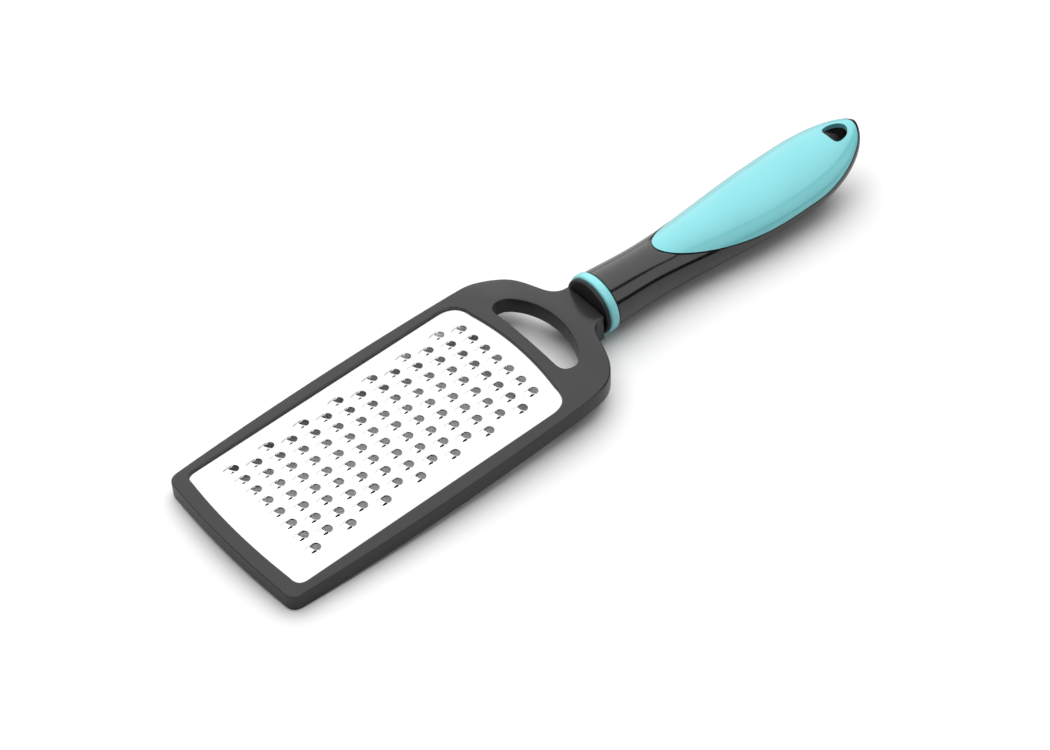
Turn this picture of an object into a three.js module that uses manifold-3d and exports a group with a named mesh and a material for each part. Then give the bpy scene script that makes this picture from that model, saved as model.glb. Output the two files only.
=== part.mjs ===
// Hand-held cheese grater: an arched steel grating plate in a moulded frame, on a two-material handle.
// Millimetres. The pieces are built with the plate level: X runs from the tip to the handle and is 0 at
// the tip-side row of teeth, Y runs across, and Z is 0 at the crown of the plate. At the end the whole
// grater is turned to lie on a table.
import * as THREE from "three";
import { mergeVertices } from "three/addons/utils/BufferGeometryUtils.js";
import Module from "manifold-3d";

const wasm = await Module();
wasm.setup();

// Clearance between pieces that touch
const FIT = 0.3;

// Grating teeth
const ROW_COUNT = 14;
const LONG_ROW_TEETH = 8;
const ROW_PITCH = 7;
const TOOTH_PITCH = 6;
const TOOTH_SEAT = 0.2;
const HOLE_HALF_WIDTH = 1.75;
const HOLE_REACH = 1.9;
const LIP_SETBACK = 1.9;
const LIP_HEIGHT = 1.5;
const SCOOP_LENGTH = 4;
const SCOOP_FULLNESS = 0.66;

// Grating plate
const SHEET_THICKNESS = 0.5;
const ARCH_RADIUS = 262;
const PLATE_RIM = 2.2;

// Window of the frame round the teeth
const TIP_MARGIN = 14.8;
const NECK_MARGIN = 8.3;
const SIDE_MARGIN = 5.2;
const TIP_BOW = 1.8;
const NECK_BOW = 1.8;
const TIP_CORNER = 4;
const NECK_CORNER = 8;

// Moulded frame
const FRAME_THICKNESS = 7;
const FRAME_LIP = 0.9;
const EDGE_ROUND = 1.4;
const TIP_RAIL = 5.1;
const TIP_EDGE_BOW = 1.6;
const TIP_EDGE_CORNER = 5;
const SIDE_RAIL_AT_TIP = 3.1;
const SIDE_RAIL_AT_MIDDLE = 4.7;
const SIDE_RAIL_AT_SHOULDER = 3.6;

// Opening between the plate and the neck
const BAR_WIDTH = 4.2;
const OPENING_LENGTH = 13.5;
const OPENING_HALF_WIDTH = 19;
const OPENING_CORNER = 4.5;
const OPENING_BAR_BOW = 0.4;

// Shoulders, neck and tang
const SHOULDER_ARCH_RADIUS = 130;
const SHOULDER_SWEEP = 9;
const SHOULDER_DROP = 0.4;
const SHOULDER_WALL = 4.1;
const SHOULDER_SLOPE = THREE.MathUtils.degToRad(65);
const SHOULDER_TENSION = 8.3;
const NECK_LENGTH = 12.7;
const NECK_HALF_WIDTH = 9;
const NECK_TENSION = 8;
const NECK_TOP = -0.5;
const NECK_DEPTH = 11;
const NECK_CORNER_POWER = 5;
const TANG_ROOT = 1;
const TANG_LENGTH = 30;
const TANG_HALF_WIDTH = 6;
const TANG_HEIGHT = 5.6;

// Nose of the handle and its collar ring
const HANDLE_AXIS_Z = -4.15;
const NOSE_LENGTH = 1.3;
const NOSE_RADIUS = 10.3;
const NOSE_ROUND = 0.8;
const SPIGOT_RADIUS = 8.2;
const SPIGOT_LENGTH = 14;
const RING_WIDTH = 3.5;
const RING_RADIUS = 11;
const RING_ROUND = 1;

// Handle
const HANDLE_RADIUS = 10.4;
const HANDLE_LENGTH = 117.3;
const WAIST_DISTANCE = 18.05;
const WAIST_HALF_WIDTH = 9.9;
const BELLY_DISTANCE = 78.05;
const BELLY_HALF_WIDTH = 14.2;
const BELLY_TOP = 1.05;
const BELLY_BOTTOM = -16.55;
const TAIL_LENGTH = 30.8;
const TAIL_POWER = 2;
const TAIL_TOP = 2.6;
const TAIL_TIP_Z = 1.15;
const TAIL_END_HALF_HEIGHT = 0.15;

// Soft grip
const GRIP_START = 24.6;
const GRIP_THICKNESS = 2;
const GRIP_SWEEP = 45;
const GRIP_SWEEP_POWER = 1.8;
const GRIP_EDGE_RISE = 1;

// Hang hole
const HANG_HOLE_FROM_TIP = 12.85;
const HANG_HOLE_LENGTH = 8.2;
const HANG_HOLE_HALF_WIDTH = 4.2;
const HANG_HOLE_CORNER = 2.4;

// Facets
const OUTLINE_STEPS = 7;
const ROUND_STEPS = 2;
const SCOOP_STEPS = 4;
const CORNER_STEPS = 3;
const TURN_STEPS = 24;
const HANDLE_SECTIONS = 14;
const TAIL_SECTIONS = 8;
const PARTING_STEPS = 20;
const SHORTEST_EDGE = 1;
const WELD_DISTANCE = 1e-4;
const TILT_PASSES = 4;

// Places that follow from the sizes
const lastRowX = (ROW_COUNT - 1) * ROW_PITCH;
const fieldHalf = (LONG_ROW_TEETH * TOOTH_PITCH) / 2;
const windowTip = -TIP_MARGIN;
const windowNeck = lastRowX + NECK_MARGIN;
const windowHalf = fieldHalf + SIDE_MARGIN;
const frameTip = windowTip - TIP_RAIL;
const openingBar = windowNeck + BAR_WIDTH;
const openingEnd = openingBar + OPENING_LENGTH;
const neckEnd = openingEnd + NECK_LENGTH;
const noseFront = neckEnd + FIT;
const ringFront = noseFront + NOSE_LENGTH + FIT;
const handleFront = ringFront + RING_WIDTH + FIT;
const handleTip = handleFront + HANDLE_LENGTH;
const tailStart = handleTip - TAIL_LENGTH;
const bellyX = handleFront + BELLY_DISTANCE;
const cutReach = HANDLE_LENGTH / 2;

const ease = (share) => THREE.MathUtils.smoothstep(share, 0, 1);
const settle = (share) => 1 - (1 - THREE.MathUtils.clamp(share, 0, 1)) ** 2;

// Height of the arch below its crown: even along the plate, tighter from the opening to the neck
function arch(x, y) {
  const share = ease((x - openingBar) / OPENING_LENGTH);
  const bend = THREE.MathUtils.lerp(1 / ARCH_RADIUS, 1 / SHOULDER_ARCH_RADIUS, share);
  return (-y * y * bend) / 2;
}

// Height of the crown of the frame, which sinks along the neck
function frameCrown(x) {
  return THREE.MathUtils.lerp(FRAME_LIP, NECK_TOP, ease((x - openingEnd) / NECK_LENGTH));
}

// Closed meshes and solids

function meshFrom(points, triangles) {
  const geometry = new THREE.BufferGeometry().setFromPoints(points);
  geometry.setIndex(triangles.flat());
  return geometry;
}

function solidFrom(geometry) {
  const bare = geometry.clone();
  bare.deleteAttribute("normal");
  bare.deleteAttribute("uv");
  const merged = mergeVertices(bare.index ? bare.toNonIndexed() : bare, WELD_DISTANCE);
  const mesh = new wasm.Mesh({
    numProp: 3,
    vertProperties: new Float32Array(merged.attributes.position.array),
    triVerts: new Uint32Array(merged.index.array),
  });
  return new wasm.Manifold(mesh);
}

function geometryFrom(solid) {
  const mesh = solid.getMesh();
  const geometry = new THREE.BufferGeometry();
  geometry.setAttribute("position", new THREE.BufferAttribute(mesh.vertProperties, 3));
  geometry.setIndex(new THREE.BufferAttribute(mesh.triVerts, 1));
  return geometry;
}

// A skin through rings of points that follow each other along +X, closed at both ends
function loft(rings) {
  const count = rings[0].length;
  const points = rings.flat();
  const triangles = [];
  for (let ring = 0; ring + 1 < rings.length; ring += 1) {
    for (let side = 0; side < count; side += 1) {
      const here = ring * count + side;
      const next = ring * count + ((side + 1) % count);
      triangles.push([here, next, next + count], [here, next + count, here + count]);
    }
  }
  const lastRing = (rings.length - 1) * count;
  for (let side = 1; side + 1 < count; side += 1) {
    triangles.push([0, side + 1, side], [lastRing, lastRing + side, lastRing + side + 1]);
  }
  return meshFrom(points, triangles);
}

// A rounded section across X: power 2 is an ellipse, more is squarer
function sectionRing(x, middleZ, halfWidth, halfHeight, power = 2) {
  const ring = [];
  for (let side = 0; side < TURN_STEPS; side += 1) {
    const turn = (side / TURN_STEPS) * 2 * Math.PI;
    const across = Math.sign(Math.cos(turn)) * Math.abs(Math.cos(turn)) ** (2 / power);
    const upward = Math.sign(Math.sin(turn)) * Math.abs(Math.sin(turn)) ** (2 / power);
    ring.push(new THREE.Vector3(x, halfWidth * across, middleZ + halfHeight * upward));
  }
  return ring;
}

// A block along X that is centred on the plane Y = 0
function barAlongX(startX, endX, halfWidth, middleZ, height) {
  const bar = new THREE.BoxGeometry(endX - startX, 2 * halfWidth, height);
  return bar.translate((startX + endX) / 2, 0, middleZ);
}

// A revolved profile, given as radius and distance along X, on the axis of the handle
function turned(profile, startX) {
  const lathe = new THREE.LatheGeometry(profile, TURN_STEPS);
  return lathe.rotateZ(-Math.PI / 2).translate(startX, 0, HANDLE_AXIS_Z);
}

// Sheet metal

// The two ends of the plate at a distance across it, grown all round for the groove that holds it
function plateEnds(y, grow) {
  const half = windowHalf + PLATE_RIM + grow;
  const cornerInset = (radius) => {
    const into = Math.max(Math.abs(y) - (half - radius), 0);
    return radius - Math.sqrt(Math.max(radius * radius - into * into, 0));
  };
  const bow = (y / windowHalf) ** 2;
  const tipInset = TIP_BOW * bow + cornerInset(TIP_CORNER + PLATE_RIM + grow);
  const neckInset = NECK_BOW * bow + cornerInset(NECK_CORNER + PLATE_RIM + grow);
  return [windowTip - PLATE_RIM - grow + tipInset, windowNeck + PLATE_RIM + grow - neckInset];
}

// Distances across the plate at which its blank side strips are divided, from the teeth to the edge
function borderStations(grow) {
  const half = windowHalf + PLATE_RIM + grow;
  const radius = TIP_CORNER + PLATE_RIM + grow;
  const stations = [];
  for (let step = 0; step <= CORNER_STEPS; step += 1) {
    const turn = (step / CORNER_STEPS) * (Math.PI / 2);
    stations.push(half - radius + radius * Math.sin(turn));
  }
  return stations;
}

// Triangles between two rows of points that run side by side along X
function zip(rowA, rowB, triangles) {
  let a = 0;
  let b = 0;
  while (a + 1 < rowA.length || b + 1 < rowB.length) {
    const stepA = a + 1 < rowA.length ? rowA[a + 1].x : Infinity;
    const stepB = b + 1 < rowB.length ? rowB[b + 1].x : Infinity;
    if (stepA <= stepB) {
      triangles.push([rowA[a], rowA[a + 1], rowB[b]]);
      a += 1;
    } else {
      triangles.push([rowA[a], rowB[b + 1], rowB[b]]);
      b += 1;
    }
  }
}

// A sheet of even thickness under a surface of triangles, with walls at every free edge
function thicken(triangles, thickness) {
  const upward = triangles.map(([a, b, c]) => {
    const turn = (b.x - a.x) * (c.y - a.y) - (b.y - a.y) * (c.x - a.x);
    return turn > 0 ? [a, b, c] : [a, c, b];
  });
  const surface = mergeVertices(new THREE.BufferGeometry().setFromPoints(upward.flat()), WELD_DISTANCE);
  const top = Array.from(surface.index.array);
  const points = [];
  for (let vertex = 0; vertex < surface.attributes.position.count; vertex += 1) {
    points.push(new THREE.Vector3().fromBufferAttribute(surface.attributes.position, vertex));
  }
  const count = points.length;
  const below = points.map((point) => new THREE.Vector3(point.x, point.y, point.z - thickness));
  const faces = [];
  const edges = new Set();
  for (let corner = 0; corner < top.length; corner += 3) {
    const face = top.slice(corner, corner + 3);
    faces.push(face, [face[0] + count, face[2] + count, face[1] + count]);
    face.forEach((from, index) => edges.add(`${from} ${face[(index + 1) % 3]}`));
  }
  for (const edge of edges) {
    const [from, to] = edge.split(" ").map(Number);
    if (!edges.has(`${to} ${from}`)) {
      faces.push([from, from + count, to + count], [from, to + count, to]);
    }
  }
  return meshFrom([...points, ...below], faces);
}

const onSheet = (x, y, lift = 0) => new THREE.Vector3(x, y, arch(x, y) + lift);

// One tooth in its cell: a scoop that rises towards the handle and ends over a round hole
const cellMargin = (ROW_PITCH - SCOOP_LENGTH - HOLE_REACH) / 2;
const cellStart = TOOTH_SEAT - SCOOP_LENGTH - cellMargin;

function toothCell(rowX, toothY, triangles) {
  const seatX = rowX + TOOTH_SEAT;
  const arc = (reach, lift) => {
    const points = [];
    for (let step = 0; step <= SCOOP_STEPS; step += 1) {
      const turn = (step / SCOOP_STEPS - 0.5) * Math.PI;
      const y = toothY + HOLE_HALF_WIDTH * Math.sin(turn);
      points.push(onSheet(seatX + reach * Math.cos(turn), y, lift * Math.cos(turn)));
    }
    return points;
  };
  const foot = arc(-SCOOP_LENGTH, 0);
  const middle = arc(-(SCOOP_LENGTH + LIP_SETBACK) / 2, SCOOP_FULLNESS * LIP_HEIGHT);
  const lip = arc(-LIP_SETBACK, LIP_HEIGHT);
  for (const [low, high] of [[foot, middle], [middle, lip]]) {
    for (let step = 0; step < SCOOP_STEPS; step += 1) {
      if (step + 1 < SCOOP_STEPS) {
        triangles.push([low[step], low[step + 1], high[step + 1]]);
      }
      if (step > 0) {
        triangles.push([low[step], high[step + 1], high[step]]);
      }
    }
  }
  const front = arc(HOLE_REACH, 0).slice(1, -1).reverse();
  const opening = [...foot, ...front];
  const backX = rowX + cellStart;
  const aheadX = backX + ROW_PITCH;
  const sides = [-TOOTH_PITCH / 2, 0, TOOTH_PITCH / 2];
  const back = sides.map((side) => onSheet(backX, toothY + side));
  const ahead = sides.map((side) => onSheet(aheadX, toothY + side)).reverse();
  const border = [...back, ...ahead];
  const flat = (point) => new THREE.Vector2(point.x, point.y);
  const corners = [...border, ...opening];
  const blank = THREE.ShapeUtils.triangulateShape(border.map(flat), [opening.map(flat)]);
  blank.forEach((face) => triangles.push(face.map((corner) => corners[corner])));
}

function gratingPlate() {
  const triangles = [];
  const fieldStart = cellStart;
  const fieldEnd = cellStart + ROW_COUNT * ROW_PITCH;
  for (let row = 0; row < ROW_COUNT; row += 1) {
    const rowX = row * ROW_PITCH;
    const teeth = LONG_ROW_TEETH - (row % 2);
    for (let tooth = 0; tooth < teeth; tooth += 1) {
      toothCell(rowX, (tooth - (teeth - 1) / 2) * TOOTH_PITCH, triangles);
    }
    const rowHalf = (teeth * TOOTH_PITCH) / 2;
    if (rowHalf < fieldHalf) {
      for (const side of [-1, 1]) {
        const rowEnds = [rowX + cellStart, rowX + cellStart + ROW_PITCH];
        const inside = rowEnds.map((x) => onSheet(x, side * rowHalf));
        const outside = rowEnds.map((x) => onSheet(x, side * fieldHalf));
        zip(inside, outside, triangles);
      }
    }
  }
  const steps = 2 * LONG_ROW_TEETH;
  const across = Array.from({ length: steps + 1 }, (_, step) => (step - steps / 2) * (TOOTH_PITCH / 2));
  for (let step = 0; step < steps; step += 1) {
    const pair = [across[step], across[step + 1]];
    const [tipA, tipB] = pair.map((y) => [onSheet(plateEnds(y, 0)[0], y), onSheet(fieldStart, y)]);
    const [neckA, neckB] = pair.map((y) => [onSheet(fieldEnd, y), onSheet(plateEnds(y, 0)[1], y)]);
    zip(tipA, tipB, triangles);
    zip(neckA, neckB, triangles);
  }
  const rowLines = Array.from({ length: ROW_COUNT + 1 }, (_, row) => fieldStart + row * ROW_PITCH);
  for (const side of [-1, 1]) {
    const lines = [fieldHalf, ...borderStations(0)].map((distance) => {
      const [start, end] = plateEnds(distance, 0);
      const between = rowLines.filter((x) => x > start + SHORTEST_EDGE && x < end - SHORTEST_EDGE);
      return [start, ...between, end].map((x) => onSheet(x, side * distance));
    });
    for (let line = 0; line + 1 < lines.length; line += 1) {
      zip(lines[line], lines[line + 1], triangles);
    }
  }
  return thicken(triangles, SHEET_THICKNESS);
}

// The space that the frame leaves round the rim of the plate
function plateGroove() {
  const triangles = [];
  const outer = borderStations(FIT);
  const steps = 2 * LONG_ROW_TEETH;
  const inner = Array.from({ length: steps + 1 }, (_, step) => (step - steps / 2) * (TOOTH_PITCH / 2));
  const stations = [...outer.map((y) => -y).reverse(), ...inner, ...outer];
  const lines = stations.map((y) => plateEnds(y, FIT).map((x) => onSheet(x, y, FIT)));
  for (let line = 0; line + 1 < lines.length; line += 1) {
    zip(lines[line], lines[line + 1], triangles);
  }
  return thicken(triangles, SHEET_THICKNESS + 2 * FIT);
}

// Moulded frame

function windowOutline() {
  const outline = new THREE.Path();
  const tipSide = windowTip + TIP_BOW;
  const neckSide = windowNeck - NECK_BOW;
  outline.moveTo(tipSide, -windowHalf + TIP_CORNER);
  outline.quadraticCurveTo(windowTip - TIP_BOW, 0, tipSide, windowHalf - TIP_CORNER);
  outline.quadraticCurveTo(tipSide, windowHalf, tipSide + TIP_CORNER, windowHalf);
  outline.lineTo(neckSide - NECK_CORNER, windowHalf);
  outline.quadraticCurveTo(neckSide, windowHalf, neckSide, windowHalf - NECK_CORNER);
  outline.quadraticCurveTo(windowNeck + NECK_BOW, 0, neckSide, -windowHalf + NECK_CORNER);
  outline.quadraticCurveTo(neckSide, -windowHalf, neckSide - NECK_CORNER, -windowHalf);
  outline.lineTo(tipSide + TIP_CORNER, -windowHalf);
  outline.quadraticCurveTo(tipSide, -windowHalf, tipSide, -windowHalf + TIP_CORNER);
  return outline;
}

function openingOutline() {
  const outline = new THREE.Path();
  const half = OPENING_HALF_WIDTH;
  const straight = half - OPENING_CORNER;
  const shoulder = openingBar + OPENING_CORNER;
  const pull = half / 2;
  outline.moveTo(openingBar, -straight);
  outline.quadraticCurveTo(openingBar + OPENING_BAR_BOW, 0, openingBar, straight);
  outline.quadraticCurveTo(openingBar, half, shoulder, half);
  outline.bezierCurveTo(shoulder + OPENING_CORNER, half, openingEnd, pull, openingEnd, 0);
  outline.bezierCurveTo(openingEnd, -pull, shoulder + OPENING_CORNER, -half, shoulder, -half);
  outline.quadraticCurveTo(openingBar, -half, openingBar, -straight);
  return outline;
}

function frameOutline() {
  const outline = new THREE.Shape();
  const tipSide = frameTip + TIP_EDGE_BOW;
  const tipHalf = windowHalf + SIDE_RAIL_AT_TIP;
  const shoulderX = windowNeck;
  const shoulderHalf = windowHalf + SIDE_RAIL_AT_SHOULDER;
  const middleX = (tipSide + shoulderX) / 2;
  const middleHalf = 2 * (windowHalf + SIDE_RAIL_AT_MIDDLE) - (tipHalf + shoulderHalf) / 2;
  const turnX = openingEnd + SHOULDER_WALL / 2;
  const turnHalf = OPENING_HALF_WIDTH + SHOULDER_WALL;
  const leanX = SHOULDER_TENSION * Math.cos(SHOULDER_SLOPE);
  const leanY = SHOULDER_TENSION * Math.sin(SHOULDER_SLOPE);
  const sweepX = shoulderX + SHOULDER_SWEEP;
  const sweepHalf = shoulderHalf - SHOULDER_DROP;
  const rootX = neckEnd - NECK_TENSION;
  const root = NECK_HALF_WIDTH;
  outline.moveTo(tipSide, tipHalf - TIP_EDGE_CORNER);
  outline.quadraticCurveTo(frameTip - TIP_EDGE_BOW, 0, tipSide, -tipHalf + TIP_EDGE_CORNER);
  outline.quadraticCurveTo(tipSide, -tipHalf, tipSide + TIP_EDGE_CORNER, -tipHalf);
  outline.quadraticCurveTo(middleX, -middleHalf, shoulderX, -shoulderHalf);
  outline.bezierCurveTo(sweepX, -sweepHalf, turnX - leanX, -turnHalf - leanY, turnX, -turnHalf);
  outline.bezierCurveTo(turnX + leanX, -turnHalf + leanY, rootX, -root, neckEnd, -root);
  outline.lineTo(neckEnd, root);
  outline.bezierCurveTo(rootX, root, turnX + leanX, turnHalf - leanY, turnX, turnHalf);
  outline.bezierCurveTo(turnX - leanX, turnHalf + leanY, sweepX, sweepHalf, shoulderX, shoulderHalf);
  outline.quadraticCurveTo(middleX, middleHalf, tipSide + TIP_EDGE_CORNER, tipHalf);
  outline.quadraticCurveTo(tipSide, tipHalf, tipSide, tipHalf - TIP_EDGE_CORNER);
  outline.holes.push(windowOutline(), openingOutline());
  return outline;
}

function archedFrame() {
  const frame = new THREE.ExtrudeGeometry(frameOutline(), {
    depth: FRAME_THICKNESS - 2 * EDGE_ROUND,
    curveSegments: OUTLINE_STEPS,
    bevelSize: EDGE_ROUND,
    bevelThickness: EDGE_ROUND,
    bevelOffset: -EDGE_ROUND,
    bevelSegments: ROUND_STEPS,
  });
  frame.translate(0, 0, EDGE_ROUND - FRAME_THICKNESS);
  const position = frame.attributes.position;
  for (let vertex = 0; vertex < position.count; vertex += 1) {
    const x = position.getX(vertex);
    position.setZ(vertex, position.getZ(vertex) + frameCrown(x) + arch(x, position.getY(vertex)));
  }
  return frame;
}

// The neck grows from the flat frame into a deep block that butts against the nose of the handle
function neckBlock() {
  const startX = openingEnd + EDGE_ROUND;
  const startDepth = FRAME_THICKNESS - 2 * FIT;
  const rings = [];
  for (let step = 0; step <= OUTLINE_STEPS; step += 1) {
    const share = step / OUTLINE_STEPS;
    const x = THREE.MathUtils.lerp(startX, neckEnd, share);
    const top = frameCrown(x) - FIT;
    const depth = THREE.MathUtils.lerp(startDepth, NECK_DEPTH, ease(share));
    rings.push(sectionRing(x, top - depth / 2, NECK_HALF_WIDTH, depth / 2, NECK_CORNER_POWER));
  }
  return loft(rings);
}

function headFrame() {
  const rootX = neckEnd - TANG_ROOT;
  const tang = barAlongX(rootX, neckEnd + TANG_LENGTH, TANG_HALF_WIDTH, HANDLE_AXIS_Z, TANG_HEIGHT);
  const moulding = solidFrom(archedFrame()).add(solidFrom(neckBlock())).add(solidFrom(tang));
  return geometryFrom(moulding.subtract(solidFrom(plateGroove())));
}

// Nose and collar ring

// The rounded edge between an end face and the rim, inward being the way along X into the piece
function roundedRim(radius, round, faceX, inward) {
  const rim = [];
  for (let step = 0; step <= ROUND_STEPS; step += 1) {
    const turn = (step / ROUND_STEPS) * (Math.PI / 2);
    const fromRim = round * (1 - Math.sin(turn));
    const fromFace = round * (1 - Math.cos(turn));
    rim.push(new THREE.Vector2(radius - fromRim, faceX + inward * fromFace));
  }
  return rim;
}

function handleNose() {
  const profile = [
    new THREE.Vector2(0, 0),
    ...roundedRim(NOSE_RADIUS, NOSE_ROUND, 0, 1),
    new THREE.Vector2(NOSE_RADIUS, NOSE_LENGTH),
    new THREE.Vector2(SPIGOT_RADIUS, NOSE_LENGTH),
    new THREE.Vector2(SPIGOT_RADIUS, NOSE_LENGTH + SPIGOT_LENGTH),
    new THREE.Vector2(0, NOSE_LENGTH + SPIGOT_LENGTH),
  ];
  return geometryFrom(solidFrom(turned(profile, noseFront)).subtract(solidFrom(tangSpace())));
}

// The space that the nose and the handle leave for the tang
function tangSpace() {
  const startX = neckEnd - FIT;
  const endX = neckEnd + TANG_LENGTH + FIT;
  return barAlongX(startX, endX, TANG_HALF_WIDTH + FIT, HANDLE_AXIS_Z, TANG_HEIGHT + 2 * FIT);
}

function collarRing() {
  const bore = SPIGOT_RADIUS + FIT;
  const profile = [
    new THREE.Vector2(bore, 0),
    ...roundedRim(RING_RADIUS, RING_ROUND, 0, 1),
    ...roundedRim(RING_RADIUS, RING_ROUND, RING_WIDTH, -1).reverse(),
    new THREE.Vector2(bore, RING_WIDTH),
    new THREE.Vector2(bore, 0),
  ];
  return turned(profile, ringFront);
}

// Handle

// How much of its section is left at a place along the tail, from 1 where it starts to 0 at the tip
function tailShare(x) {
  const along = THREE.MathUtils.clamp((x - tailStart) / TAIL_LENGTH, 0, 1);
  return (1 - along ** TAIL_POWER) ** (1 / TAIL_POWER);
}

function handleSection(x) {
  const share = tailShare(x);
  const along = (x - handleFront) / BELLY_DISTANCE;
  const frontTop = HANDLE_AXIS_Z + HANDLE_RADIUS;
  const frontBottom = HANDLE_AXIS_Z - HANDLE_RADIUS;
  const narrowing = ease((x - handleFront) / WAIST_DISTANCE);
  const waist = THREE.MathUtils.lerp(HANDLE_RADIUS, WAIST_HALF_WIDTH, narrowing);
  const swell = ease((x - handleFront - WAIST_DISTANCE) / (BELLY_DISTANCE - WAIST_DISTANCE));
  const lift = ease((x - bellyX) / (handleTip - bellyX));
  const width = THREE.MathUtils.lerp(waist, BELLY_HALF_WIDTH, swell);
  const top = THREE.MathUtils.lerp(frontTop, BELLY_TOP, settle(along)) + (TAIL_TOP - BELLY_TOP) * lift;
  const bottom = THREE.MathUtils.lerp(frontBottom, BELLY_BOTTOM, settle(along));
  return {
    halfWidth: width * share,
    top: TAIL_TIP_Z + (top - TAIL_TIP_Z) * share,
    bottom: TAIL_TIP_Z + (bottom - TAIL_TIP_Z) * share,
  };
}

function handleStations(startX, endX) {
  const stations = [];
  for (let step = 0; step < HANDLE_SECTIONS; step += 1) {
    stations.push(THREE.MathUtils.lerp(startX, tailStart, step / HANDLE_SECTIONS));
  }
  for (let step = 0; step <= TAIL_SECTIONS; step += 1) {
    const turn = (step / TAIL_SECTIONS) * (Math.PI / 2);
    stations.push(THREE.MathUtils.lerp(tailStart, endX, Math.sin(turn)));
  }
  return stations;
}

// The body of the handle, set in by an even amount all round
function handleBody(inset, startX) {
  const leftAtEnd = (inset + TAIL_END_HALF_HEIGHT) / handleHalfHeight(tailStart);
  const endX = tailStart + TAIL_LENGTH * (1 - leftAtEnd ** TAIL_POWER) ** (1 / TAIL_POWER);
  const rings = handleStations(startX, endX).map((x) => {
    const { halfWidth, top, bottom } = handleSection(x);
    return sectionRing(x, (top + bottom) / 2, halfWidth - inset, (top - bottom) / 2 - inset);
  });
  return loft(rings);
}

function handleHalfHeight(x) {
  const { top, bottom } = handleSection(x);
  return (top - bottom) / 2;
}

// Everything above the line where the grip ends, seen from the side
function aboveParting(clear) {
  const startX = handleFront + GRIP_START - clear;
  const pastTip = handleTip + GRIP_THICKNESS;
  const apex = handleSection(startX);
  const apexRise = apex.top - (apex.top + apex.bottom) / 2 - GRIP_EDGE_RISE;
  const outline = new THREE.Shape();
  outline.moveTo(startX, cutReach);
  for (let step = 0; step <= PARTING_STEPS; step += 1) {
    const x = THREE.MathUtils.lerp(startX, handleTip, step / PARTING_STEPS);
    const { top, bottom } = handleSection(x);
    const sweep = THREE.MathUtils.clamp(1 - (x - startX) / GRIP_SWEEP, 0, 1) ** GRIP_SWEEP_POWER;
    outline.lineTo(x, (top + bottom) / 2 + GRIP_EDGE_RISE + apexRise * sweep - clear);
  }
  outline.lineTo(pastTip, TAIL_TIP_Z + GRIP_EDGE_RISE - clear);
  outline.lineTo(pastTip, cutReach);
  const block = new THREE.ExtrudeGeometry(outline, { depth: 2 * cutReach, bevelEnabled: false });
  return block.rotateX(Math.PI / 2).translate(0, cutReach, 0);
}

function hangHole() {
  const startX = handleTip - HANG_HOLE_FROM_TIP;
  const endX = startX + HANG_HOLE_LENGTH;
  const half = HANG_HOLE_HALF_WIDTH;
  const corner = HANG_HOLE_CORNER;
  const outline = new THREE.Shape();
  outline.moveTo(startX, -half + corner);
  outline.lineTo(startX, half - corner);
  outline.quadraticCurveTo(startX, half, startX + corner, half);
  outline.bezierCurveTo(endX - corner, half, endX, half / 2, endX, 0);
  outline.bezierCurveTo(endX, -half / 2, endX - corner, -half, startX + corner, -half);
  outline.quadraticCurveTo(startX, -half, startX, -half + corner);
  const prism = new THREE.ExtrudeGeometry(outline, {
    depth: 2 * cutReach,
    bevelEnabled: false,
    curveSegments: OUTLINE_STEPS,
  });
  return prism.translate(0, 0, -cutReach);
}

function handleCore() {
  const boreLength = NOSE_LENGTH + SPIGOT_LENGTH + noseFront - handleFront + 2 * FIT;
  const bore = [
    new THREE.Vector2(0, -FIT),
    new THREE.Vector2(SPIGOT_RADIUS + FIT, -FIT),
    new THREE.Vector2(SPIGOT_RADIUS + FIT, boreLength - FIT),
    new THREE.Vector2(0, boreLength - FIT),
  ];
  const seat = solidFrom(handleBody(GRIP_THICKNESS + FIT, handleFront));
  const recess = solidFrom(aboveParting(FIT)).subtract(seat);
  const body = solidFrom(handleBody(0, handleFront)).subtract(recess);
  const socketed = body.subtract(solidFrom(turned(bore, handleFront))).subtract(solidFrom(tangSpace()));
  return geometryFrom(socketed.subtract(solidFrom(hangHole())));
}

function softGrip() {
  const shell = solidFrom(handleBody(0, handleFront)).intersect(solidFrom(aboveParting(0)));
  const hollow = solidFrom(handleBody(GRIP_THICKNESS, handleFront));
  return geometryFrom(shell.subtract(hollow).subtract(solidFrom(hangHole())));
}

// Assembly

const materials = {
  steel: { color: "#e4e5e6", roughness: 0.28, metalness: 1 },
  satinBlack: { color: "#2a2a2b", roughness: 0.45, metalness: 0 },
  glossBlack: { color: "#161617", roughness: 0.18, metalness: 0 },
  turquoise: { color: "#74d3da", roughness: 0.4, metalness: 0 },
};

const pieces = [
  ["grating_plate", gratingPlate(), materials.steel],
  ["head_frame", headFrame(), materials.satinBlack],
  ["handle_nose", handleNose(), materials.glossBlack],
  ["collar_ring", collarRing(), materials.turquoise],
  ["handle_core", handleCore(), materials.glossBlack],
  ["grip", softGrip(), materials.turquoise],
];

const level = new THREE.Group();
for (const [name, geometry, material] of pieces) {
  const mesh = new THREE.Mesh(geometry, new THREE.MeshStandardMaterial(material));
  mesh.name = name;
  level.add(mesh);
}

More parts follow.
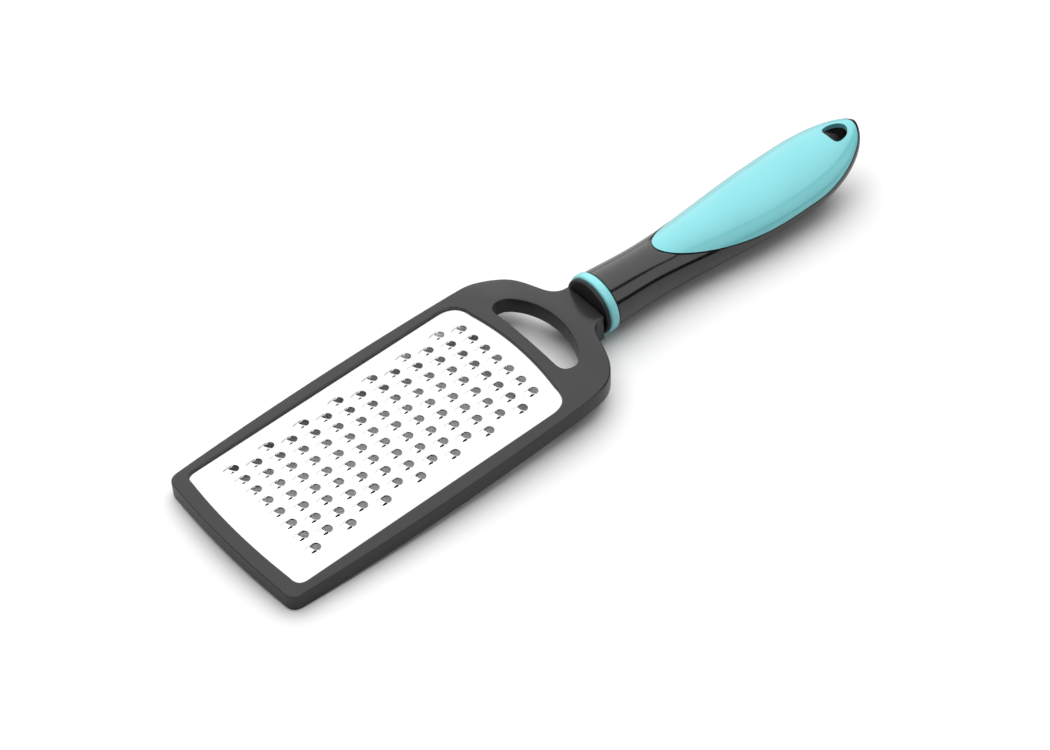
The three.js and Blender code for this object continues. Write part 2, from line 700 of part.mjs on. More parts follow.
// Lying on a table, the grater touches it under the tip of the frame and under the handle
function restingTilt() {
  const points = [];
  const position = new THREE.Vector3();
  for (const mesh of level.children) {
    const { array, count } = mesh.geometry.attributes.position;
    for (let vertex = 0; vertex < count; vertex += 1) {
      points.push(position.fromArray(array, 3 * vertex).clone());
    }
  }
  const underTip = points.filter((point) => point.x < lastRowX / 2);
  const underHandle = points.filter((point) => point.x > neckEnd);
  let tilt = 0;
  for (let pass = 0; pass < TILT_PASSES; pass += 1) {
    const height = (point) => point.x * Math.sin(tilt) + point.z * Math.cos(tilt);
    const foot = underTip.reduce((low, point) => (height(point) < height(low) ? point : low));
    const slopes = underHandle.map((point) => Math.atan2(foot.z - point.z, point.x - foot.x));
    tilt = Math.max(...slopes);
  }
  return tilt;
}

level.rotation.y = -restingTilt();
const grater = new THREE.Group();
grater.add(level);
const extent = new THREE.Box3().setFromObject(grater, true);
const middle = extent.getCenter(new THREE.Vector3());
level.position.set(-middle.x, -middle.y, -extent.min.z);

export default grater;
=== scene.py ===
# %% [markdown]
# # A hand-held cheese grater
#
# The grater is a steel plate with raised teeth, held in a black moulded frame on a two-colour handle.
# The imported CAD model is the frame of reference: it says where each piece sits and how far it may reach.
# In this lesson every piece is modelled again with finer edges, and gets the finish of its real material.

# %% Load the fixed frame
import math

import bmesh
import bpy
from mathutils import Matrix, Vector


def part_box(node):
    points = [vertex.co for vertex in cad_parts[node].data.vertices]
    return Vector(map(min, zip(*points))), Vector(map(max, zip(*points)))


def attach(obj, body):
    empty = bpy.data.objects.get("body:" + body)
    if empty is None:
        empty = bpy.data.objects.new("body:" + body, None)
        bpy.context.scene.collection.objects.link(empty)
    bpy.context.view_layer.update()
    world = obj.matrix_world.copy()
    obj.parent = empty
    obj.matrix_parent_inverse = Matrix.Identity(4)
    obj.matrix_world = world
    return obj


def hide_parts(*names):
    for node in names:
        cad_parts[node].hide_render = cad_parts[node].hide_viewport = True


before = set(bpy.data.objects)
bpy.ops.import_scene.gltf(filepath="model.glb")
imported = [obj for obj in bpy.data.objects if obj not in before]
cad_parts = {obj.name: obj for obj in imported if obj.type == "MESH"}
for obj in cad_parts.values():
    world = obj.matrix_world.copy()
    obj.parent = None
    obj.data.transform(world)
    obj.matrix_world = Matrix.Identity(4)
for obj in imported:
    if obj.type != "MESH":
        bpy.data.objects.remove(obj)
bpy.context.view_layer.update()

# %% [markdown]
# ## Drawn level, laid down at rest
#
# A grater lies on a table with its tip and its collar ring touching, so it is tilted by a few degrees.
# Drawing it tilted would be awkward. Each piece is drawn with the plate level and the top of its arch
# at height zero, and the last step of each piece turns it down onto the table.

# %% The level drawing and the rest pose
MM = 0.001
REST_TILT = math.radians(2.8136311)
REST_PLACE = Vector((-116.265883, 0.0, 8.622748)) * MM
to_rest = Matrix.Translation(REST_PLACE) @ Matrix.Rotation(-REST_TILT, 4, "Y")
print("tilt at rest:", round(math.degrees(REST_TILT), 2), "degrees")

# %% [markdown]
# ## The camera
#
# The photo looks down at the grater from beyond its tip, with a long lens that keeps parallel lines
# nearly parallel. The place was worked out from the grid of teeth, whose rows are evenly spaced.

# %% Place the camera
CAMERA_RIGHT = (0.75995, -0.64911, -0.03358)
CAMERA_UP = (0.50698, 0.55964, 0.65557)
CAMERA_BACK = (-0.40675, -0.51523, 0.75439)
CAMERA_PLACE = Vector((-308.829, -520.931, 746.017)) * MM
SENSOR_WIDTH, LENS = 36.0, 105.254  # mm
camera_turn = Matrix((CAMERA_RIGHT, CAMERA_UP, CAMERA_BACK)).transposed().to_4x4()

bpy.ops.object.camera_add()
camera = bpy.context.object
camera.matrix_world = to_rest @ Matrix.Translation(CAMERA_PLACE) @ camera_turn
camera.data.sensor_width = SENSOR_WIDTH
camera.data.lens = LENS
bpy.context.scene.camera = camera
print("camera at", [round(c, 3) for c in camera.location])

# %% [markdown]
# ## Helpers for finishes
#
# Colours are written as they look on a screen, and one function turns them into the linear values
# that the renderer works with. A second one adds a node with its settings and its links.

# %% Colours and nodes
def colour(code):
    channels = [int(code[at:at + 2], 16) / 255 for at in (1, 3, 5)]
    linear = [c / 12.92 if c <= 0.04045 else ((c + 0.055) / 1.055) ** 2.4 for c in channels]
    return (*linear, 1.0)


def add_node(tree, kind, inputs, **settings):
    node = tree.nodes.new(kind)
    for name, value in settings.items():
        setattr(node, name, value)
    for name, value in inputs.items():
        if isinstance(value, bpy.types.NodeSocket):
            tree.links.new(value, node.inputs[name])
        else:
            node.inputs[name].default_value = value
    return node


def empty_material(name):
    material = bpy.data.materials.new(name)
    material.use_nodes = True
    material.node_tree.nodes.clear()
    return material


print("mid grey in linear light:", round(colour("#808080")[0], 3))

# %% [markdown]
# ## The stage
#
# A product photo like this one is taken on a white table under large soft lamps. The floor is a pale
# sheet that keeps its shadow. A little light of its own, seen by the camera only, takes it to white.
# Such backgrounds are often whitened afterwards, while glossy plastic still mirrors the greyer table
# that was there. So the sheet is greyer in reflections than where the camera sees it.

# %% Pale floor
FLOOR_SIZE = 12
CAMERA_LIFT = 0.03

bpy.ops.object.select_all(action="DESELECT")
bpy.ops.mesh.primitive_plane_add(size=FLOOR_SIZE)
floor = bpy.context.object
floor.name = "floor"

# Matt paper gives the eye a soft shadow and hardly any highlight.
paper = empty_material("white_table_paper")
tree = paper.node_tree
ray = add_node(tree, "ShaderNodeLightPath", {})
lift = add_node(tree, "ShaderNodeMath", {0: ray.outputs["Is Camera Ray"], 1: CAMERA_LIFT},
                operation="MULTIPLY")
sheet = add_node(tree, "ShaderNodeValToRGB", {"Fac": ray.outputs["Is Glossy Ray"]})
sheet.color_ramp.elements[0].color = colour("#f2f2f2")
sheet.color_ramp.elements[1].color = colour("#b4b4b4")
shader = add_node(tree, "ShaderNodeBsdfPrincipled", {
    "Base Color": sheet.outputs["Color"], "Roughness": 0.9, "Specular IOR Level": 0.1,
    "Emission Color": colour("#ffffff"), "Emission Strength": lift.outputs["Value"]})
add_node(tree, "ShaderNodeOutputMaterial", {"Surface": shader.outputs["BSDF"]})
floor.data.materials.append(paper)
print("floor laid at height", floor.location.z)

# %% [markdown]
# ## Soft lamps
#
# The long grey bands on the handle are mirror pictures of the lamps. The wide upper band is the key
# panel, which leans to the far side. The narrower band below it is the fill panel, low on the side of
# the camera, and the thin dark line is the gap between the two. Beside the head, two more low panels
# leave no such gap, so the plate stays white and only the steep flanks of its teeth turn dark.
# These four are seen in reflections only. The fifth lamp, overhead, gives the even light and the shadow.

# %% Lamps and dim room
ROOM_LIGHT = 0.2


def add_panel(name, lean, sweep, distance, width, height, radiance, slide=0.0):
    """A panel facing the grater: leant in degrees from overhead to +Y, swept about Z and slid along X."""
    turn = Matrix.Rotation(math.radians(sweep), 4, "Z") @ Matrix.Rotation(-math.radians(lean), 4, "X")
    bpy.ops.object.light_add(type="AREA")
    lamp = bpy.context.object
    lamp.name = name
    lamp.matrix_world = turn @ Matrix.Translation((0, 0, distance))
    lamp.location.x += slide
    lamp.data.shape = "RECTANGLE"
    lamp.data.size = width
    lamp.data.size_y = height
    lamp.data.energy = radiance * math.pi * width * height
    lamp.visible_camera = False
    return lamp


key = add_panel("key_panel", lean=28, sweep=0, distance=1.5, width=3.8, height=5.2, radiance=1.12)
fill = add_panel("fill_panel", lean=-56.5, sweep=0, distance=1.5, width=1.3, height=1.06, radiance=0.9,
                 slide=1.31)
front = add_panel("front_panel", lean=-48, sweep=0, distance=1.5, width=1.26, height=1.09, radiance=1.0,
                  slide=0.03)
tip = add_panel("tip_panel", lean=-44, sweep=-48, distance=1.5, width=3.0, height=1.09, radiance=1.0)
for lamp in (key, fill, front, tip):
    lamp.visible_diffuse = False
overhead = add_panel("top_panel", lean=22, sweep=-30, distance=3.2, width=5.0, height=5.0, radiance=2.5)
overhead.visible_glossy = False

world = bpy.data.worlds.new("dim_room")
world.use_nodes = True
room = world.node_tree.nodes["Background"]
room.inputs["Color"].default_value = colour("#ffffff")
room.inputs["Strength"].default_value = ROOM_LIGHT
world.cycles_visibility.glossy = False
bpy.context.scene.world = world
bpy.context.scene.view_settings.view_transform = "Standard"
for lamp in (key, fill, front, tip, overhead):
    print(lamp.name, round(lamp.data.energy, 1), "W over", round(lamp.data.size, 2), "m")

# %% [markdown]
# ## Tools of the workbench
#
# The same few moves come back for every piece: add a primitive and keep its place in its corners, open
# it for editing, pick faces or edges by where they are, and finish it with a modifier that is applied.

# %% Modelling helpers
TINY = 0.001 * MM
SAME_PLACE = 0.01 * MM


def select_only(*pieces):
    bpy.ops.object.select_all(action="DESELECT")
    for piece in pieces:
        piece.select_set(True)
    bpy.context.view_layer.objects.active = pieces[0]


def keep_place(name):
    """Names the primitive that was just added and moves its place and size into its corners."""
    piece = bpy.context.object
    piece.name = name
    select_only(piece)
    bpy.ops.object.transform_apply(location=True, rotation=True, scale=True)
    return piece


def open_piece(piece, kind):
    select_only(piece)
    bpy.ops.object.mode_set(mode="EDIT")
    bpy.ops.mesh.select_mode(type=kind)
    bpy.ops.mesh.select_all(action="DESELECT")


def close_piece():
    bpy.ops.object.mode_set(mode="OBJECT")


def pick(parts, test):
    """Selects the verts, edges or faces of the open piece that pass a test, and counts them."""
    bpy.ops.mesh.select_all(action="DESELECT")
    mesh = bpy.context.object.data
    opened = bmesh.from_edit_mesh(mesh)
    chosen = [part for part in getattr(opened, parts) if test(part)]
    for part in chosen:
        part.select_set(True)
    opened.select_flush_mode()
    bmesh.update_edit_mesh(mesh)
    return len(chosen)


def face_outwards():
    bpy.ops.mesh.select_all(action="SELECT")
    bpy.ops.mesh.normals_make_consistent(inside=False)


def weld():
    bpy.ops.mesh.select_all(action="SELECT")
    bpy.ops.mesh.remove_doubles(threshold=SAME_PLACE)
    face_outwards()


def face_upwards(sheet):
    if sum(face.normal.z * face.area for face in sheet.data.polygons) < 0:
        sheet.data.flip_normals()


def apply_modifier(piece, kind, **settings):
    select_only(piece)
    modifier = piece.modifiers.new(kind.title(), kind)
    for name, value in settings.items():
        setattr(modifier, name, value)
    bpy.ops.object.modifier_apply(modifier=modifier.name)


def join(first, *others):
    select_only(first, *others)
    bpy.ops.object.join()


def copy_piece(piece, name):
    twin = piece.copy()
    twin.data = piece.data.copy()
    twin.name = name
    bpy.context.collection.objects.link(twin)
    return twin


def cut(piece, tool, operation="DIFFERENCE"):
    apply_modifier(piece, "BOOLEAN", object=tool, operation=operation, solver="EXACT")


def discard(*tools):
    for tool in tools:
        bpy.data.objects.remove(tool)


def finish_piece(piece, node, material, angle=35):
    """Smooths a piece, lays it down at rest and lets it stand for its CAD node."""
    select_only(piece)
    bpy.ops.object.shade_smooth_by_angle(angle=math.radians(angle))
    piece.matrix_world = to_rest
    bpy.ops.object.transform_apply(location=True, rotation=True, scale=True)
    piece.data.materials.clear()
    piece.data.materials.append(material)
    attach(piece, "root")
    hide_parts(node)
    low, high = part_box(node)
    corners = [Vector(corner) for corner in piece.bound_box]
    past = [[round(max(low[i] - c[i] for c in corners) / MM, 2) for i in range(3)],
            [round(max(c[i] - high[i] for c in corners) / MM, 2) for i in range(3)]]
    print(piece.name, "has", len(piece.data.polygons), "faces; past its CAD box by", past, "mm")


print("workbench ready")

# %% [markdown]
# ## The arch of the head
#
# The whole head is bowed across its width, like a shallow roof tile. That stiffens the thin sheet and
# presses food against the teeth. The bow is stronger at the shoulders, where the frame turns down.

# %% The bow
ARCH_RADIUS = 262 * MM
SHOULDER_ARCH_RADIUS = 130 * MM
OPENING_BAR = 103.5 * MM
OPENING_LENGTH = 13.5 * MM
RAIL_Y = 29 * MM


def clamp(share):
    return min(max(share, 0.0), 1.0)


def ease(share):
    share = clamp(share)
    return share * share * (3 - 2 * share)


def blend(start, end, share):
    return start + (end - start) * share


def arch(x, y):
    bow = blend(1 / ARCH_RADIUS, 1 / SHOULDER_ARCH_RADIUS, ease((x - OPENING_BAR) / OPENING_LENGTH))
    return -bow * y * y / 2


def bend_to_arch(piece):
    for corner in piece.data.vertices:
        corner.co.z += arch(corner.co.x, corner.co.y)


print("drop of the bow at the rail:", round(-arch(0, RAIL_Y) / MM, 2), "mm")

# %% [markdown]
# ## One tooth of the plate
#
# A press lances a half-round slit in the sheet and lifts one side of it into a small scoop, whose free
# edge cuts the cheese. The tooth is drawn as one tile of the sheet with an oval hole. The rim of the
# hole is drawn up a little, and the scoop is lifted from its tip side in a few folds about a line
# through the widest place of the hole. Its steep flanks show as a dark mark beside each hole.

# %% Tile and circle
ROW_PITCH = 7 * MM
TOOTH_PITCH = 6 * MM
SEAT = 0.2 * MM
HOLE_HALF_WIDTH = 1.6 * MM
HOLE_REACH = 1.8 * MM
SCOOP_REACH = 4 * MM
FOOT = 0.45 * MM
HOLE_SIDES = 24
TILE_MARGIN = 0.55 * MM
TILE_START = SEAT - SCOOP_REACH - TILE_MARGIN
SEAT_POINT = (SEAT, 0, 0)
foot_half = HOLE_HALF_WIDTH + FOOT

bpy.ops.object.select_all(action="DESELECT")
bpy.ops.mesh.primitive_plane_add(size=1, location=(TILE_START + ROW_PITCH / 2, 0, 0))
bpy.context.object.scale = (ROW_PITCH, TOOTH_PITCH, 1)
tooth = keep_place("grating_plate_sheet")
open_piece(tooth, "EDGE")
bpy.ops.mesh.select_all(action="SELECT")
bpy.ops.mesh.delete(type="ONLY_FACE")
bpy.ops.mesh.select_all(action="SELECT")
bpy.ops.mesh.subdivide(number_cuts=HOLE_SIDES // 4 - 1)
bpy.ops.mesh.primitive_circle_add(vertices=HOLE_SIDES, radius=foot_half, location=SEAT_POINT)
print("tile of", round(ROW_PITCH / MM, 1), "by", round(TOOTH_PITCH / MM, 1), "mm")

# %% Oval hole in the tile
# Shares of the width and of the reach at the corners of the scoop, from its hinge to its end.
SCOOP_OUTLINE = ((1.0, 0.33), (0.92, 0.6), (0.82, 0.82), (0.69, 0.94), (0.4, 0.99))
corner_turns = [math.tau / HOLE_SIDES * step for step in range(1, HOLE_SIDES // 4)]


def in_hole(corner):
    """True inside the border of the tile, where only the hole has corners."""
    x, y = corner.co.x - TILE_START, abs(corner.co.y)
    return TINY < x < ROW_PITCH - TINY and y < TOOTH_PITCH / 2 - TINY


def on_rim(corner):
    return corner.is_boundary and in_hole(corner)


def stretch_halves(test, tip_share, front_share):
    """Stretches the tip side and the front side of the hole along X."""
    for side, share in ((-1, tip_share), (1, front_share)):
        pick("verts", lambda v: test(v) and (v.co.x - SEAT) * side > TINY)
        bpy.ops.transform.resize(value=(share, 1, 1), center_override=SEAT_POINT)


bpy.ops.mesh.select_mode(type="VERT")
for turn, (wide, far) in zip(corner_turns, SCOOP_OUTLINE):
    drawn_y = foot_half * math.cos(turn)
    pick("verts", lambda v: in_hole(v) and v.co.x < SEAT and abs(abs(v.co.y) - drawn_y) < TINY)
    bpy.ops.transform.resize(value=(far / math.sin(turn), wide / math.cos(turn), 1),
                             center_override=SEAT_POINT)
stretch_halves(in_hole, (SCOOP_REACH + FOOT) / foot_half, (HOLE_REACH + FOOT) / foot_half)
bpy.ops.mesh.select_mode(type="EDGE")
bpy.ops.mesh.select_all(action="SELECT")
bpy.ops.mesh.bridge_edge_loops()
rim = pick("edges", lambda e: e.is_boundary and all(in_hole(v) for v in e.verts))
bpy.ops.mesh.extrude_edges_move()
bpy.ops.transform.resize(value=(1, HOLE_HALF_WIDTH / foot_half, 1), center_override=SEAT_POINT)
bpy.ops.mesh.select_mode(type="VERT")
stretch_halves(on_rim, SCOOP_REACH / (SCOOP_REACH + FOOT), HOLE_REACH / (HOLE_REACH + FOOT))
print("rim of the hole has", rim, "edges")

# %% Draw up the rim
RIM_RISE = 0.2 * MM

pick("verts", lambda v: on_rim(v) and v.co.x < SEAT + TINY)
bpy.ops.transform.translate(value=(0, 0, RIM_RISE))
for turn in corner_turns:
    front_x = SEAT + HOLE_REACH * math.sin(turn)
    pick("verts", lambda v: on_rim(v) and abs(v.co.x - front_x) < TINY)
    bpy.ops.transform.translate(value=(0, 0, RIM_RISE * math.cos(turn) ** 2))
print("rim drawn up by", round(RIM_RISE / MM, 2), "mm")

# %% Lift the scoop
# Reach from the hinge and height of each fold in mm, and how far each corner of the outline closes in.
FOLDS = ((3.45, 0.25, (0.97, 0.965, 0.95, 0.93, 0.88)), (2.82, 0.62, (0.905, 0.905, 0.89, 0.84, 0.75)),
         (2.3, 1.0, (0.845, 0.83, 0.79, 0.7, 0.55)), (1.9, 1.3, (0.8, 0.68, 0.47, 0.42, 0.35)))
HINGE_POINT = (SEAT, 0, RIM_RISE)

bpy.ops.mesh.select_mode(type="EDGE")
lip = pick("edges", lambda e: e.is_boundary and all(in_hole(v) and v.co.x < SEAT + TINY for v in e.verts))
length, lifted = SCOOP_REACH, 0.0
for reach, height, shares in FOLDS:
    next_length = math.hypot(reach, height) * MM
    next_lifted = math.atan2(height, reach)
    share = next_length / length
    bpy.ops.mesh.extrude_edges_move()
    bpy.ops.transform.resize(value=(share, 1, share), center_override=HINGE_POINT)
    bpy.ops.transform.rotate(value=lifted - next_lifted, orient_axis="Y", center_override=HINGE_POINT)
    length, lifted = next_length, next_lifted
weld()
bpy.ops.mesh.select_mode(type="VERT")
for reach, height, shares in FOLDS:
    for (wide, far), share in zip(SCOOP_OUTLINE, shares):
        spot = Vector((SEAT - far * reach * MM, wide * HOLE_HALF_WIDTH, RIM_RISE + far * height * MM))
        pick("verts", lambda v: (Vector((v.co.x, abs(v.co.y), v.co.z)) - spot).length < SAME_PLACE)
        bpy.ops.transform.resize(value=(1, share, 1), center_override=SEAT_POINT)
close_piece()
print("scoop of", lip, "by", len(FOLDS), "faces, lifted",
      round(max(v.co.z for v in tooth.data.vertices) / MM, 2), "mm")

# %% [markdown]
# ## Rows of teeth
#
# Long rows of eight teeth take turns with short rows of seven, set half a step aside so that no strip
# of cheese is missed. One tile is repeated along a row and then from row to row, and small plain
# patches fill the ends of the short rows.

# %% Repeat the tooth
LONG_ROW, SHORT_ROW, ROW_PAIRS = 8, 7, 7
PAIR_PITCH = 2 * ROW_PITCH
FIELD_HALF = LONG_ROW / 2 * TOOTH_PITCH
FIELD_END = TILE_START + ROW_PAIRS * PAIR_PITCH


def repeat(piece, count, x, y):
    apply_modifier(piece, "ARRAY", count=count, use_relative_offset=False, use_constant_offset=True,
                   constant_offset_displace=(x, y, 0), use_merge_vertices=True, merge_threshold=SAME_PLACE)


def shift(piece, x, y):
    select_only(piece)
    bpy.ops.transform.translate(value=(x, y, 0))
    bpy.ops.object.transform_apply(location=True)


short_row = copy_piece(tooth, "short_row")
for row, teeth, x in ((tooth, LONG_ROW, 0), (short_row, SHORT_ROW, ROW_PITCH)):
    shift(row, x, -(teeth - 1) / 2 * TOOTH_PITCH)
    repeat(row, teeth, 0, TOOTH_PITCH)
    repeat(row, ROW_PAIRS, PAIR_PITCH, 0)

patches = []
for side in (-1, 1):
    bpy.ops.object.select_all(action="DESELECT")
    middle = (TILE_START + 1.5 * ROW_PITCH, side * (FIELD_HALF - TOOTH_PITCH / 4), 0)
    bpy.ops.mesh.primitive_grid_add(x_subdivisions=6, y_subdivisions=3, size=1, location=middle)
    bpy.context.object.scale = (ROW_PITCH, TOOTH_PITCH / 2, 1)
    patch = keep_place("row_end")
    repeat(patch, ROW_PAIRS, PAIR_PITCH, 0)
    patches.append(patch)

plate = tooth
join(plate, short_row, *patches)
open_piece(plate, "EDGE")
weld()
close_piece()
print("toothed field of", len(plate.data.polygons), "faces")

# %% [markdown]
# ## The plain rim of the plate
#
# Round the teeth the sheet is plain, and its rim slides into a groove of the frame. The border of the
# toothed field is pulled out to the rim, the corners are clipped, and the flat sheet is then bowed
# and given its thickness of half a millimetre.

# %% Rim, bow and thickness
PLATE_HALF = 31.2 * MM
PLATE_TIP = -16.3 * MM
PLATE_NECK = 100.8 * MM
CORNER_CLIP = 4 * MM
SHEET_THICKNESS = 0.5 * MM
RIM_STRIPS = 3


def widen(test, x, y):
    """Pulls out the border of the sheet where it passes a test."""
    pick("edges", lambda e: e.is_boundary and all(test(v.co) for v in e.verts))
    bpy.ops.mesh.extrude_edges_move(TRANSFORM_OT_translate={"value": (x, y, 0)})


def clip_corners(half_width):
    for end, x in ((-1, PLATE_TIP), (1, PLATE_NECK)):
        for side in (-1, 1):
            bpy.ops.mesh.select_all(action="SELECT")
            bpy.ops.mesh.bisect(plane_co=(x - end * CORNER_CLIP, side * half_width, 0),
                                plane_no=(end, side, 0), clear_outer=True)


open_piece(plate, "EDGE")
widen(lambda co: abs(co.x - TILE_START) < TINY, PLATE_TIP - TILE_START, 0)
widen(lambda co: abs(co.x - FIELD_END) < TINY, PLATE_NECK - FIELD_END, 0)
strip = (PLATE_HALF - FIELD_HALF) / RIM_STRIPS
for side in (-1, 1):
    for step in range(RIM_STRIPS):
        edge_y = side * (FIELD_HALF + step * strip)
        widen(lambda co: abs(co.y - edge_y) < TINY, 0, side * strip)
clip_corners(PLATE_HALF)
weld()
close_piece()
bend_to_arch(plate)
face_upwards(plate)
apply_modifier(plate, "SOLIDIFY", thickness=SHEET_THICKNESS, offset=-1.0, use_even_offset=True)
print("sheet", [round(size / MM, 2) for size in plate.dimensions], "mm")

# %% [markdown]
# ## Bright rolled steel
#
# Stainless sheet comes from the mill with a fine grain along the rolling direction. It mirrors the
# lamps softly, so the plate looks white where a lamp stands behind it and dark on the flanks of teeth.
# The grain is drawn coarser than the real one, about 0.4 mm, because the real one is too fine to show.

# %% Steel finish
GRAIN_LENGTH = 20 * MM
GRAIN_WIDTH = 0.4 * MM

# Rolled steel gives the eye a white mirror with a faint grain along the plate.
steel = empty_material("rolled_stainless_steel")
tree = steel.node_tree
place = add_node(tree, "ShaderNodeTexCoord", {})
rolled = add_node(tree, "ShaderNodeMapping", {
    "Vector": place.outputs["Object"], "Scale": (1 / GRAIN_LENGTH, 1 / GRAIN_WIDTH, 1 / GRAIN_WIDTH)})
grain = add_node(tree, "ShaderNodeTexNoise", {
    "Vector": rolled.outputs["Vector"], "Scale": 1.0, "Detail": 2.0})
sheen = add_node(tree, "ShaderNodeMapRange", {"Value": grain.outputs["Fac"], "To Min": 0.08, "To Max": 0.16})
tint = add_node(tree, "ShaderNodeValToRGB", {"Fac": grain.outputs["Fac"]})
tint.color_ramp.elements[0].color = colour("#eff0f0")
tint.color_ramp.elements[1].color = colour("#f6f7f7")
relief = add_node(tree, "ShaderNodeBump", {
    "Height": grain.outputs["Fac"], "Strength": 0.05, "Distance": 0.01 * MM})
shader = add_node(tree, "ShaderNodeBsdfPrincipled", {
    "Base Color": tint.outputs["Color"], "Metallic": 1.0, "Roughness": sheen.outputs["Result"],
    "Normal": relief.outputs["Normal"]})
add_node(tree, "ShaderNodeOutputMaterial", {"Surface": shader.outputs["BSDF"]})
finish_piece(plate, "grating_plate", steel, angle=45)

# %% [markdown]
# ## The outline of the frame
#
# The frame is one moulding: two side rails, a tip rail, a bar behind the plate, and shoulders that run
# together into a neck. It is drawn as two flat rings that share the middle of the bar. Each ring is a
# pair of loops, one inside and one outside, with a strip of faces bridged between them.

# %% Loops on drawn curves
# Outlines are drawn in mm.
STEPS = 12
WINDOW_TIP, WINDOW_NECK, WINDOW_HALF, WINDOW_BOW = -13.0, 97.5, 29.2, 3.6
TIP_CORNER, NECK_CORNER = 4.0, 8.0
NECK_END, NECK_HALF = 129.7, 9.0


def curve(*controls, steps=STEPS):
    """Points in mm along a curve through its first and last control, without the last one."""
    points = []
    for step in range(steps):
        row = [Vector(control) for control in controls]
        while len(row) > 1:
            row = [start.lerp(end, step / steps) for start, end in zip(row, row[1:])]
        points.append(row[0])
    return points


def mirror(controls):
    return [(x, -y) for x, y in reversed(controls)]


def drawn_loop(name, curves):
    points = [point for one in curves for point in one]
    bpy.ops.object.select_all(action="DESELECT")
    bpy.ops.mesh.primitive_circle_add(vertices=len(points))
    loop = keep_place(name)
    for corner, point in zip(loop.data.vertices, points):
        corner.co = (point.x * MM, point.y * MM, 0)
    return loop


def bridged(outer, inner, cuts):
    join(outer, inner)
    open_piece(outer, "EDGE")
    bpy.ops.mesh.select_all(action="SELECT")
    bpy.ops.mesh.bridge_edge_loops(number_cuts=cuts, interpolation="LINEAR")
    close_piece()
    return outer


tip_half, neck_half = WINDOW_HALF - TIP_CORNER, WINDOW_HALF - NECK_CORNER
side_start, side_end = (WINDOW_TIP + TIP_CORNER, WINDOW_HALF), (WINDOW_NECK - NECK_CORNER, WINDOW_HALF)
window_tip = [(WINDOW_TIP, -tip_half), (WINDOW_TIP - WINDOW_BOW, 0), (WINDOW_TIP, tip_half)]
window_corner = [(WINDOW_TIP, tip_half), (WINDOW_TIP, WINDOW_HALF), side_start]
window_side = [side_start, side_end]
window_back = [side_end, (WINDOW_NECK, WINDOW_HALF), (WINDOW_NECK, neck_half)]
window_neck = [(WINDOW_NECK, neck_half), (WINDOW_NECK + WINDOW_BOW, 0), (WINDOW_NECK, -neck_half)]
window_loop = drawn_loop("window", [
    curve(*window_tip), curve(*window_corner), curve(*window_side), curve(*window_back),
    curve(*window_neck), curve(*mirror(window_back)), curve(*mirror(window_side)),
    curve(*mirror(window_corner))])
print("window of", len(window_loop.data.vertices), "corners")

# %% Rails round the window
RAIL_TIP, RAIL_TIP_HALF, RAIL_BOW = -18.2, 27.3, 3.2
RAIL_START, RAIL_BULGE = (-13.3, 32.3), (40.5, 35.25)
BAR_END, BAR_ROOT = (99.3, 32.8), (101.4, 21.2)

rail_tip = [(RAIL_TIP, -RAIL_TIP_HALF), (RAIL_TIP - RAIL_BOW, 0), (RAIL_TIP, RAIL_TIP_HALF)]
rail_corner = [(RAIL_TIP, RAIL_TIP_HALF), (RAIL_TIP, RAIL_START[1]), RAIL_START]
rail_side = [RAIL_START, RAIL_BULGE, BAR_END]
bar_flank = [BAR_END, BAR_ROOT]
bar_middle = [BAR_ROOT, *mirror([BAR_ROOT])]
rail_loop = drawn_loop("head_frame_moulding", [
    curve(*rail_tip), curve(*rail_corner), curve(*rail_side), curve(*bar_flank), curve(*bar_middle),
    curve(*mirror(bar_flank)), curve(*mirror(rail_side)), curve(*mirror(rail_corner))])
rails = bridged(rail_loop, window_loop, cuts=3)
print("rails of", len(rails.data.polygons), "faces")

# %% Shoulders and neck
OPENING_HALF, OPENING_CORNER, BAR_BOW = 19.0, 4.5, 0.4
SHOULDER_TURN, SHOULDER_PULL, SHOULDER_SLOPE = Vector((119.05, 23.1)), 8.3, math.radians(65)
SHOULDER_BULGE = (108.3, 32.4)
NECK_PULL = 8
ROUND_STEPS = 30

bar_x, opening_end = OPENING_BAR / MM, (OPENING_BAR + OPENING_LENGTH) / MM
corner_half = OPENING_HALF - OPENING_CORNER
round_start = (bar_x + OPENING_CORNER, OPENING_HALF)
opening_bar = [(bar_x, -corner_half), (bar_x + BAR_BOW, 0), (bar_x, corner_half)]
opening_corner = [(bar_x, corner_half), (bar_x, OPENING_HALF), round_start]
opening_round = [round_start, (opening_end - OPENING_CORNER, OPENING_HALF),
                 (opening_end, OPENING_HALF / 2), (opening_end, 0)]
opening_loop = drawn_loop("opening", [
    curve(*opening_bar), curve(*opening_corner), curve(*opening_round, steps=ROUND_STEPS),
    curve(*mirror(opening_round), steps=ROUND_STEPS), curve(*mirror(opening_corner))])

pull = Vector((math.cos(SHOULDER_SLOPE), -math.sin(SHOULDER_SLOPE))) * SHOULDER_PULL
shoulder = [BAR_END, SHOULDER_BULGE, tuple(SHOULDER_TURN - pull), tuple(SHOULDER_TURN)]
neck_side = [tuple(SHOULDER_TURN), tuple(SHOULDER_TURN + pull), (NECK_END - NECK_PULL, NECK_HALF),
             (NECK_END, NECK_HALF)]
neck_face = [(NECK_END, NECK_HALF), (NECK_END, -NECK_HALF)]
shoulder_loop = drawn_loop("shoulders", [
    curve(*bar_middle[::-1]), curve(*bar_flank[::-1]), curve(*shoulder), curve(*neck_side),
    curve(*neck_face), curve(*mirror(neck_side)), curve(*mirror(shoulder)), curve(*mirror(bar_flank[::-1]))])
shoulders = bridged(shoulder_loop, opening_loop, cuts=3)
moulding = rails
join(moulding, shoulders)
open_piece(moulding, "EDGE")
weld()
close_piece()
print("flat moulding of", len(moulding.data.polygons), "faces")

